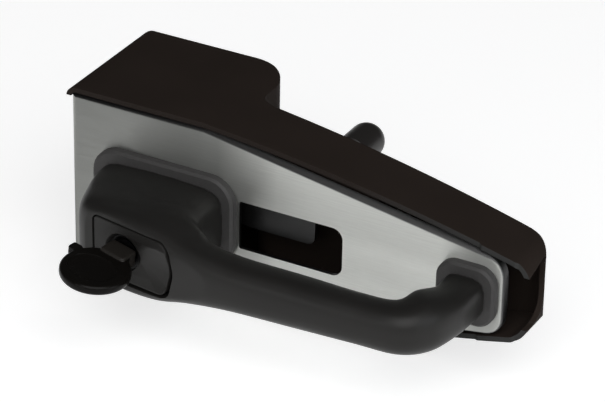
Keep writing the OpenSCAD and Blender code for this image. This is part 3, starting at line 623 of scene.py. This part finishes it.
# Rib that hangs from the cover's top wall as (along, height) corners, and its two faces in depth
RIB_CORNERS = [(104, 33), (160, 25), (160, 34.6), (136, 38.4), (118, 40.8), (104, 42.4)]
RIB_FACES = (6.6, 8.4)


def notch_prism(name):
    """Cutter of the end wall's notch, in millimetres from the plate's face."""
    outline = rounded_path(NOTCH_CORNERS)
    rings = [[door(x, p.x, p.y) for p in outline] for x in NOTCH_ENDS]
    return new_object(name, tube_mesh(name, rings))


def rib_prism(name):
    """Rib of the cover's top wall, in millimetres from the plate's face."""
    rings = [[door(x, y, z) for x, z in RIB_CORNERS] for y in RIB_FACES]
    return new_object(name, tube_mesh(name, rings))


class LATCH_OT_cover(Operator):
    """Builds the moulded cover from its solid, with the full notch in its end wall"""

    bl_idname = "latch.cover"
    bl_label = "Cover"

    def execute(self, context):
        colours = context.scene.latch_finish
        plastic = moulded_plastic("Cover plastic", colours.cover, 0.70, specular=0.05, edge=0.0007)
        # Painted light on the cut lip that faces outwards
        painted_lip_light(plastic)
        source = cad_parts["cover"]
        piece = new_object("cover_moulding", source.data.copy())
        piece.data.transform(source.matrix_world)
        weld = piece.modifiers.new("Weld", "WELD")
        weld.merge_threshold = WELD_GAP / 2
        apply_modifiers(piece)
        # The notch in the end wall runs back in a slant below and opens a little above
        cut_with(piece, notch_prism("notch"))
        # A rib under the top wall closes the view past the plate's rim to the stalk's way
        cut_with(piece, rib_prism("rib"), "UNION")
        smooth_by_angle(piece, 28.0)
        finish(piece, plastic)
        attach(piece, "door_plate")
        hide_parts("cover")
        finish_nodes(["cover_screws"], named("Blackened steel"))
        return {"FINISHED"}


# Handle


def station_table(shape):
    """Sections in millimetres: outer point, inner point, half height, squareness and rise."""
    reach, grip = shape.reach / MM, shape.grip_height / MM
    inside = reach - shape.grip_depth / MM
    foot_x, foot_l, foot_h, block_h, base = 19.5, 66.0, 36.0, 39.0, 4.6
    foot_end = foot_x + foot_l
    tail_x0, tail_x1, tail_h = 200.5, 220.7, 20.4

    def crown(x):
        return -LOCK_PLACE[1] + (x - LOCK_PLACE[0]) * math.tan(LOCK_TURN) + 1.6

    return [
        (foot_x, base, foot_end, base, foot_h / 2, 5, 0),
        (foot_x + 1, 14, foot_end + 0.3, 12, foot_h / 2 + 0.2, 5, 0),
        (foot_x + 5, 28, foot_end + 0.8, 21, foot_h / 2 + 0.4, 5, 0),
        (foot_x + 9.8, 40, foot_end + 2, 27, block_h / 2 + 0.1, 5, -0.1),
        (foot_x + 14.8, crown(foot_x + 14.8) - 2.6, foot_end + 3.5, 31, block_h / 2 + 0.2, 5, -0.2),
        (foot_x + 25, crown(foot_x + 25), foot_end + 5.5, 33.2, block_h / 2 + 0.4, 5, -0.4),
        (foot_x + 38, crown(foot_x + 38) + 0.2, foot_end + 8, 34.8, block_h / 2 + 0.3, 4.6, -0.9),
        (foot_x + 54, crown(foot_x + 54) - 0.2, foot_end + 11, 36, block_h / 2 - 0.9, 4, -1.1),
        (foot_x + 74, reach - 0.9, foot_end + 16, inside + 0.5, grip / 2 + 2.4, 3.2, -0.3),
        (foot_x + 98, reach + 0.2, foot_end + 32, inside + 0.8, grip / 2 - 0.1, 2.7, 0.1),
        (foot_x + 130, reach - 0.9, foot_end + 62, inside - 0.1, grip / 2 - 0.6, 2.5, 0),
        (tail_x1 - 41, reach - 1.8, tail_x0 - 23.2, inside - 0.5, grip / 2 - 1.4, 2.5, 0),
        (tail_x1 - 17.9, reach - 4, tail_x0 - 8.8, inside - 2.2, grip / 2 - 0.9, 2.5, 0),
        (tail_x1 - 6.2, reach - 15.1, tail_x0 - 5.6, inside - 11.9, tail_h / 2 + 2.5, 2.6, 0),
        (tail_x1 - 1.1, reach - 30.5, tail_x0 - 0.3, 16.2, tail_h / 2 + 0.5, 2.9, 0),
        (tail_x1, 15, tail_x0, 10, tail_h / 2, 3.2, 0),
        (tail_x1, base, tail_x0, base, tail_h / 2, 3.4, 0),
    ]


def through(a, b, c, d, t):
    """A smooth step from b to c, with a and d as the neighbours."""
    second, third = 2 * a - 5 * b + 4 * c - d, 3 * b - a - 3 * c + d
    return 0.5 * (2 * b + (c - a) * t + second * t**2 + third * t**3)


def handle_points(shape, sides, steps):
    """Rings of points along the handle, with a number of steps between two sections."""
    rows = station_table(shape)
    last = len(rows) - 1
    rings = []
    for i in range(last * steps + 1):
        n, t = min(i // steps, last - 1), (i % steps) / steps if i < last * steps else 1.0
        near = [rows[max(n - 1, 0)], rows[n], rows[n + 1], rows[min(n + 2, last)]]
        s = [through(*(row[k] for row in near), t) for k in range(7)]
        mid = ((s[0] + s[2]) / 2, -(s[1] + s[3]) / 2)
        half = ((s[0] - s[2]) / 2, -(s[1] - s[3]) / 2)
        ring = []
        for j in range(sides):
            c, d = oval(math.tau * (j + 0.5) / sides, s[5])
            ring.append(door(mid[0] + half[0] * c, mid[1] + half[1] * c, s[4] * d + s[6]))
        rings.append(ring)
    return rings


def tube_mesh(name, rings):
    """Closed mesh through rings of points."""
    sides = len(rings[0])
    points = [p for ring in rings for p in ring]
    faces = []
    for i in range(len(rings) - 1):
        for j in range(sides):
            k = (j + 1) % sides
            faces.append((i * sides + j, (i + 1) * sides + j, (i + 1) * sides + k, i * sides + k))
    faces.append(tuple(range(sides)))
    faces.append(tuple((len(rings) - 1) * sides + j for j in reversed(range(sides))))
    return mesh_from(name, points, faces)


# Corners of the button's outline in its own face, with the radius of each, and its middle
BUTTON_CORNERS = [(-17, -14.4, 2.5), (25, -13.9, 6), (28.6, 0, 12), (25, 13.4, 6), (-17, 14.6, 2.5)]
BUTTON_CENTRE = Vector((5.8, -0.3))


def button_outline(grow, per_corner=10):
    """Points of the button's outline, grown by a gap, in millimetres."""
    pts = []
    n = len(BUTTON_CORNERS)
    corners = []
    for x, y, r in BUTTON_CORNERS:
        gx = grow if x > BUTTON_CENTRE.x else -grow
        gy = 0 if y == 0 else (grow if y > 0 else -grow)
        corners.append((Vector((x + gx, y + gy)), max(r + grow, 0.1)))
    for i in range(n):
        p, r = corners[i]
        u = (corners[i - 1][0] - p).normalized()
        v = (corners[(i + 1) % n][0] - p).normalized()
        half = u.angle(v) / 2
        centre = p + (u + v).normalized() * (r / math.sin(half))
        start = p + u * (r / math.tan(half)) - centre
        end = p + v * (r / math.tan(half)) - centre
        turn = start.angle_signed(end)
        for k in range(per_corner + 1):
            a = -turn * k / per_corner
            pts.append(centre + Vector((start.x * math.cos(a) - start.y * math.sin(a),
                                        start.x * math.sin(a) + start.y * math.cos(a))))
    return pts


def placed_tube(name, rings, place):
    """Closed mesh through rings that are given in millimetres of a turned frame."""
    return new_object(name, tube_mesh(name, [[place @ (q * MM) for q in ring] for ring in rings]))


def lock_prism(name, layers):
    """Closed mesh of the button's outline: layers are (depth, growth, shift) from front to back."""
    rings = [
        [Vector((p.x + shift, depth, p.y - shift)) for p in button_outline(grow)]
        for depth, grow, shift in layers
    ]
    return placed_tube(name, rings, lock_matrix())


def lock_round(name, layers, sides=96):
    """Closed turned mesh about the lock's axis: layers are (depth, radius), in millimetres."""
    turns = [math.tau * j / sides for j in range(sides)]
    rings = [
        [Vector((radius * math.cos(a), depth, radius * math.sin(a))) for a in turns]
        for depth, radius in layers
    ]
    return placed_tube(name, rings, lock_matrix())


def lock_box(name, low, high):
    """Closed box in the lock's frame, in millimetres."""
    corners = ((low[0], low[2]), (high[0], low[2]), (high[0], high[2]), (low[0], high[2]))
    rings = [[Vector((x, y, z)) for x, z in corners] for y in (low[1], high[1])]
    return placed_tube(name, rings, lock_matrix())


def pocket_layers(gap):
    """Stepped pocket of the button, as layers of its outline that open towards the front."""
    return [
        (-3, gap + 0.65, 0.45),
        (0.0, gap + 0.6, 0.45),
        (0.3, gap + 0.45, 0.4),
        (4.5, gap + 0.1, 0.1),
        (13, gap, 0.0),
    ]


# Bore behind the pocket, as layers of (depth, radius) in the lock's frame
BORE_LAYERS = [(12, 11.2), (60, 11.2)]
# Boss on the button's back with the groove of its clip, and the stepped bore through both
BOSS_LAYERS = [(4.0, 10.8), (16.45, 10.8), (16.45, 9.9), (17.6, 9.9), (17.6, 10.8), (23, 10.8)]
LOCK_BORE_LAYERS = [(-4, 10.2), (0.0, 10.1), (0.35, 9.75), (2.3, 8.7), (24, 8.6)]


class LATCH_OT_handle(Operator):
    """Builds the moulded grab handle with soft edges round its flat"""

    bl_idname = "latch.handle"
    bl_label = "Grab handle"

    def execute(self, context):
        shape = context.scene.latch_handle
        rings = handle_points(shape, sides=96, steps=10)
        piece = new_object("handle_moulding", tube_mesh("handle_moulding", rings))
        cut_with(piece, lock_box("flat_cutter", (-60, -20, -30), (50, 0, 30)))
        melt_surface(piece, shape.softness, passes=3)
        cut_with(piece, lock_prism("pocket", pocket_layers(shape.button_gap / MM)))
        cut_with(piece, lock_round("bore", BORE_LAYERS))
        smooth_by_angle(piece, 40.0)
        finish(piece, named("Handle plastic"))
        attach(piece, "door_plate")
        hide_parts("grab_handle")
        finish_nodes(["handle_inserts"], named("Turned brass"))
        return {"FINISHED"}


# Button, lock and key


def ramp_up(distance, width):
    """Rises from 0 to 1 over a width, as a quarter of a circle does."""
    t = min(max(distance / width, 0.0), 1.0)
    return math.sqrt(max(1.0 - (1.0 - t) ** 2, 0.0))


def scoop_depth(x, z):
    """Depth of the thumb scoop under the flat of the button, from 0 to 1."""
    top, bottom = 9.5 - 0.018 * (x - 20.0) ** 2, -13.2
    across = (2 * z - top - bottom) / (top - bottom)
    start = min(max((x - 1.0) / 8.0, 0.0), 1.0)
    end = ramp_up(28.9 - 0.03 * z * z - x, 3.0)
    return max(1.0 - across**2, 0.0) * start * start * (3 - 2 * start) * end


class LATCH_OT_button(Operator):
    """Builds the push button with its thumb scoop"""

    bl_idname = "latch.button"
    bl_label = "Push button"

    def execute(self, context):
        shape = context.scene.latch_button
        edge, depth, count = shape.edge / MM, shape.scoop / MM, shape.rings
        outer = button_outline(0.0, 14)
        inward = [(BUTTON_CENTRE - p).normalized() for p in outer]
        # Share of the way from the middle of the flat to its edge, which starts inside the rounding
        shares = [0.004] + [1 - k / count for k in range(count - 1, 0, -1)]
        flats = [[BUTTON_CENTRE + (p - BUTTON_CENTRE) * t for p in outer] for t in shares]
        flats.append([p + n * edge for p, n in zip(outer, inward)])
        rings = [
            [Vector((q.x, depth * scoop_depth(q.x, q.y), q.y)) for q in ring] for ring in flats
        ]
        for pull, back in ((edge * 0.3, edge * 0.3), (0.0, edge), (0.0, 5.0)):
            side = [p + n * pull for p, n in zip(outer, inward)]
            rings.append([Vector((q.x, back, q.y)) for q in side])
        piece = placed_tube("button_moulding", rings, lock_matrix())
        cut_with(piece, lock_round("boss", BOSS_LAYERS), "UNION")
        cut_with(piece, lock_round("lock_bore", LOCK_BORE_LAYERS))
        smooth_by_angle(piece, 38.0)
        finish(piece, named("Handle plastic"))
        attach(piece, "button")
        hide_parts("push_button")
        finish_nodes(["button_spring", "button_clip"], named("Spring wire"))
        return {"FINISHED"}


class LATCH_OT_lock(Operator):
    """Finishes the lock cylinder and its tail"""

    bl_idname = "latch.lock"
    bl_label = "Lock"

    def execute(self, context):
        finish_nodes(["lock_housing", "lock_plug"], named("Dark die casting"))
        finish_nodes(["lock_tail"], named("Plated steel"))
        finish_nodes(["tail_clip"], named("Spring wire"))
        return {"FINISHED"}


def superellipse(centre, half, depth, squareness, sides=96):
    """Ring in the lock's frame across depth: an oval whose squareness is 2 for an ellipse."""
    ring = []
    for j in range(sides):
        c, d = oval(math.tau * j / sides, squareness)
        ring.append(Vector((centre[0] + half[0] * c, depth, centre[1] + half[1] * d)))
    return ring


# Layers through the key's thickness: (inset, depth) of tab and neck, (radius, depth) of the dish
TAB_LAYERS = ((0.4, -1.8), (0.0, -1.4), (0.0, 2.4), (0.4, 2.8))
NECK_LAYERS = ((0.7, -3.7), (0.2, -3.5), (0.0, -3.0), (0.0, 3.3), (0.2, 3.8), (0.7, 4.0))
DISH_LAYERS = ((9.9, 3.2), (9.6, 2.35), (9.0, 2.05), (8.2, 1.9))


def key_matrix(shape):
    """Frame of the key, which hangs over by its play in the lock."""
    return lock_matrix() @ Matrix.Rotation(shape.key_turn, 4, "Y")


def on_neck(place):
    """Whether a place of the key's frame, in millimetres, is on the satin neck."""
    return abs(place.x) < 7.4 and place.y > -8.3 and (abs(place.z) > 2.75 or place.y > -2.9)


def key_head(shape):
    """Glossy head of the key: a round grip with a bare oval dish, a broad neck and a tab."""
    radius, thick = shape.key_across / MM / 2, shape.key_thick / MM
    middle, edge = Vector((0.7, -19.4)), 2.1
    # The head lies in the plane of the lock's axis, so its rings run through the thickness
    flat = Matrix(((1, 0, 0, 0), (0, 0, 1, 0), (0, 1, 0, 0), (0, 0, 0, 1)))
    across = key_matrix(shape) @ flat
    half = []
    for a in range(0, 91, 15):
        turn = math.radians(a)
        inset, rise = edge * (1 - math.sin(turn)), edge * (1 - math.cos(turn))
        half.append((radius - inset, rise - thick / 2))
    rings = [superellipse(middle, (r, r), z, 2.0) for r, z in half]
    rings += [superellipse(middle, (r, r), -z, 2.0) for r, z in reversed(half)]
    piece = placed_tube("key_head_moulding", rings, across)
    beside = (middle.x - radius - 0.4, middle.y + 5.6)
    tab = [superellipse(beside, (2.7 - q, 2.5 - q), z, 6.0, 48) for q, z in TAB_LAYERS]
    cut_with(piece, placed_tube("tab", tab, across), "UNION")
    neck = [superellipse((0.0, -2.9), (7.0 - q, 5.1 - q), z, 9.0) for q, z in NECK_LAYERS]
    cut_with(piece, placed_tube("neck", neck, across), "UNION")
    melt_surface(piece, 0.32 * MM, passes=5)
    below = (middle.x - 0.6, middle.y - 2.0)
    for side in (-1, 1):
        dish = [superellipse(below, (r * 1.25, r), side * z, 2.2) for r, z in DISH_LAYERS]
        cut_with(piece, placed_tube("dish", dish, across))
    cut_with(piece, lock_box("blade_slot", (-4.3, -4.1, -1.2), (4.3, 3.3, 1.2)))
    smooth_by_angle(piece, 40.0)
    return piece


class LATCH_OT_key(Operator):
    """Builds the key's glossy head and finishes its blade"""

    bl_idname = "latch.key"
    bl_label = "Key"

    def execute(self, context):
        colours = context.scene.latch_finish
        gloss = moulded_plastic("Key plastic", colours.key, 0.26, grain=0.01 * MM, specular=0.10)
        # The neck takes a lighter copy of the head's colour, all round it
        lighter_neck_colour = [c * 3.4 for c in colours.key]
        satin = moulded_plastic("Key neck plastic", lighter_neck_colour, 0.40, grain=0.02 * MM, specular=0.22)
        shape = context.scene.latch_key
        piece = key_head(shape)
        finish(piece, gloss)
        piece.data.materials.append(satin)
        back = key_matrix(shape).inverted()
        for face in piece.data.polygons:
            face.material_index = 1 if on_neck((back @ face.center) / MM) else 0
        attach(piece, "lock")
        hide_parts("key_head")
        finish_nodes(["key_blade"], named("Turned brass"))
        return {"FINISHED"}


class LATCH_OT_gaskets(Operator):
    """Finishes the pads under the handle's feet"""

    bl_idname = "latch.gaskets"
    bl_label = "Gaskets"

    def execute(self, context):
        pads = rubber("Gasket rubber", context.scene.latch_finish.gasket)
        finish_nodes(["left_gasket", "right_gasket"], pads)
        return {"FINISHED"}


class LATCH_OT_mechanism(Operator):
    """Finishes the rotor, the pawl, the release lever and their case"""

    bl_idname = "latch.mechanism"
    bl_label = "Latch mechanism"

    def execute(self, context):
        case = ["case_plate", "case_spacers", "rotor", "rotor_pin", "lever_pin"]
        pawl = ["pawl", "pawl_stud", "pawl_pin"]
        finish_nodes(case + pawl, named("Plated steel"))
        finish_nodes(["lever_bracket", "release_lever"], named("Blackened steel"))
        finish_nodes(["rotor_spring", "pawl_spring", "lever_spring"], named("Spring wire"))
        return {"FINISHED"}


class LATCH_OT_knob(Operator):
    """Finishes the release knob and its stalk"""

    bl_idname = "latch.knob"
    bl_label = "Release knob"

    def execute(self, context):
        colour = context.scene.latch_finish.knob
        plastic = moulded_plastic("Knob plastic", colour, 0.36, specular=0.3)
        finish_nodes(["knob"], plastic)
        finish_nodes(["knob_stalk"], named("Blackened steel"))
        return {"FINISHED"}


# Stage


def area_lamp(name, place, target, size, power, colour):
    lamp = bpy.data.lights.new(name, "AREA")
    lamp.shape = "RECTANGLE"
    lamp.size, lamp.size_y = size
    lamp.energy = power
    lamp.color = colour
    holder = bpy.data.objects.new(name, lamp)
    bpy.context.scene.collection.objects.link(holder)
    holder.location = place
    holder.rotation_mode = "QUATERNION"
    holder.rotation_quaternion = (Vector(target) - Vector(place)).to_track_quat("-Z", "Y")
    return holder


def seen_directly(nodes, links):
    """1 where the camera, a reflection or glass shows the surface, and 0 where it only lights."""
    rays = nodes.new("ShaderNodeLightPath")
    either = rays.outputs["Is Camera Ray"]
    for kind in ("Is Glossy Ray", "Is Transmission Ray"):
        either = compute(nodes, links, "MAXIMUM", either, rays.outputs[kind])
    return either


def pale_world(horizon, zenith):
    """Backdrop that is palest along the horizon and dims overhead."""
    world = bpy.data.worlds.new("Studio")
    bpy.context.scene.world = world
    world.use_nodes = True
    nodes, links = world.node_tree.nodes, world.node_tree.links
    back = nodes["Background"]
    height = axes(nodes, links, nodes.new("ShaderNodeTexCoord").outputs["Generated"])["Z"]
    ramp = nodes.new("ShaderNodeValToRGB")
    ramp.color_ramp.interpolation = "EASE"
    ramp.color_ramp.elements[0].position = 0.06
    ramp.color_ramp.elements[0].color = (horizon, horizon, horizon, 1.0)
    ramp.color_ramp.elements[1].position = 0.40
    ramp.color_ramp.elements[1].color = (zenith, zenith, zenith * 1.04, 1.0)
    links.new(height, ramp.inputs["Fac"])
    links.new(ramp.outputs["Color"], back.inputs["Color"])


def pale_floor(colour, glow_strength):
    """Floor that shows white to the camera and in reflections, apart from the shadow on it."""
    material = bpy.data.materials.new("Pale floor")
    material.use_nodes = True
    nodes, links = material.node_tree.nodes, material.node_tree.links
    shader = nodes["Principled BSDF"]
    shader.inputs["Base Color"].default_value = (*colour, 1.0)
    shader.inputs["Roughness"].default_value = 0.9
    shader.inputs["Specular IOR Level"].default_value = 0.0
    glow, none = nodes.new("ShaderNodeEmission"), nodes.new("ShaderNodeEmission")
    glow.inputs["Color"].default_value = (1.0, 1.0, 1.0, 1.0)
    glow.inputs["Strength"].default_value = glow_strength
    none.inputs["Strength"].default_value = 0.0
    blend = nodes.new("ShaderNodeMixShader")
    links.new(seen_directly(nodes, links), blend.inputs["Fac"])
    links.new(none.outputs[0], blend.inputs[1])
    links.new(glow.outputs[0], blend.inputs[2])
    total = nodes.new("ShaderNodeAddShader")
    links.new(shader.outputs[0], total.inputs[0])
    links.new(blend.outputs[0], total.inputs[1])
    links.new(total.outputs[0], nodes["Material Output"].inputs["Surface"])
    return material


class LATCH_OT_stage(Operator):
    """Sets the floor, the lamps and the camera"""

    bl_idname = "latch.stage"
    bl_label = "Stage"

    def execute(self, context):
        scene = context.scene
        stage = scene.latch_stage
        scene.view_settings.view_transform = "Standard"
        level, half = cad_low.z - 1.0 * MM, 12.0
        corners = [(x * half, y * half, level) for x, y in ((-1, -1), (1, -1), (1, 1), (-1, 1))]
        floor = new_object("floor", mesh_from("floor", corners, [(0, 1, 2, 3)], smooth=False))
        finish(floor, pale_floor(stage.floor_colour, stage.floor_glow))
        middle = (cad_low + cad_high) / 2
        # Place from the latch's middle, size of the panel, power and colour
        lamps = {
            "Key": ((0.9, -1.35, 1.5), (2.4, 2.0), stage.key_power, (1.0, 1.0, 1.0)),
            "Fill": ((1.6, -0.2, 0.5), (0.9, 0.9), stage.fill_power, (0.92, 0.96, 1.0)),
            "Side": ((-1.0, -0.8, 0.25), (0.5, 0.5), stage.side_power, (1.0, 1.0, 1.0)),
            "Front": ((-0.32, -1.26, 0.38), (0.6, 0.4), stage.front_power, (1.0, 1.0, 1.0)),
        }
        for name, (place, size, power, colour) in lamps.items():
            area_lamp(name, middle + Vector(place), middle, size, power, colour)
        pale_world(stage.horizon, stage.zenith)

        a, e, roll = stage.azimuth, stage.elevation, stage.roll
        ahead = Vector((-math.sin(a) * math.cos(e), math.cos(a) * math.cos(e), -math.sin(e)))
        right = Vector((math.cos(a), math.sin(a), 0.0))
        down = ahead.cross(right)
        across = right * math.cos(roll) + down * math.sin(roll)
        below = down * math.cos(roll) - right * math.sin(roll)
        lens = bpy.data.cameras.new("Camera")
        lens.lens = stage.lens
        lens.clip_start, lens.clip_end = 0.05, 50.0
        camera = bpy.data.objects.new("Camera", lens)
        scene.collection.objects.link(camera)
        turn = Matrix((across, -below, -ahead)).transposed()
        camera.matrix_world = Matrix.Translation(Vector(stage.place)) @ turn.to_4x4()
        scene.camera = camera
        return {"FINISHED"}


class LATCH_PT_panel(Panel):
    """Lists the steps and the settings of the latch"""

    bl_idname = "LATCH_PT_panel"
    bl_label = "Rotary Door Latch"
    bl_space_type = "VIEW_3D"
    bl_region_type = "UI"
    bl_category = "Latch"

    def draw(self, context):
        for step in STEPS:
            self.layout.operator(step.bl_idname)
        for setting in SETTINGS:
            group = getattr(context.scene, setting)
            box = self.layout.box()
            for name in group.bl_rna.properties.keys():
                if name not in {"rna_type", "name"}:
                    box.prop(group, name)


STEPS = (
    LATCH_OT_finishes,
    LATCH_OT_plate,
    LATCH_OT_cover,
    LATCH_OT_handle,
    LATCH_OT_button,
    LATCH_OT_lock,
    LATCH_OT_key,
    LATCH_OT_gaskets,
    LATCH_OT_mechanism,
    LATCH_OT_knob,
    LATCH_OT_stage,
)
SETTINGS = {
    "latch_stage": StageSettings,
    "latch_finish": FinishSettings,
    "latch_handle": HandleSettings,
    "latch_button": ButtonSettings,
    "latch_key": KeySettings,
}
CLASSES = (*SETTINGS.values(), *STEPS, LATCH_PT_panel)


def register():
    for each in CLASSES:
        bpy.utils.register_class(each)
    for name, group in SETTINGS.items():
        setattr(bpy.types.Scene, name, PointerProperty(type=group))


def unregister():
    for name in SETTINGS:
        delattr(bpy.types.Scene, name)
    for each in reversed(CLASSES):
        bpy.utils.unregister_class(each)


def main():
    register()
    for step in STEPS:
        area, name = step.bl_idname.split(".")
        getattr(getattr(bpy.ops, area), name)()


if __name__ == "__main__":
    main()
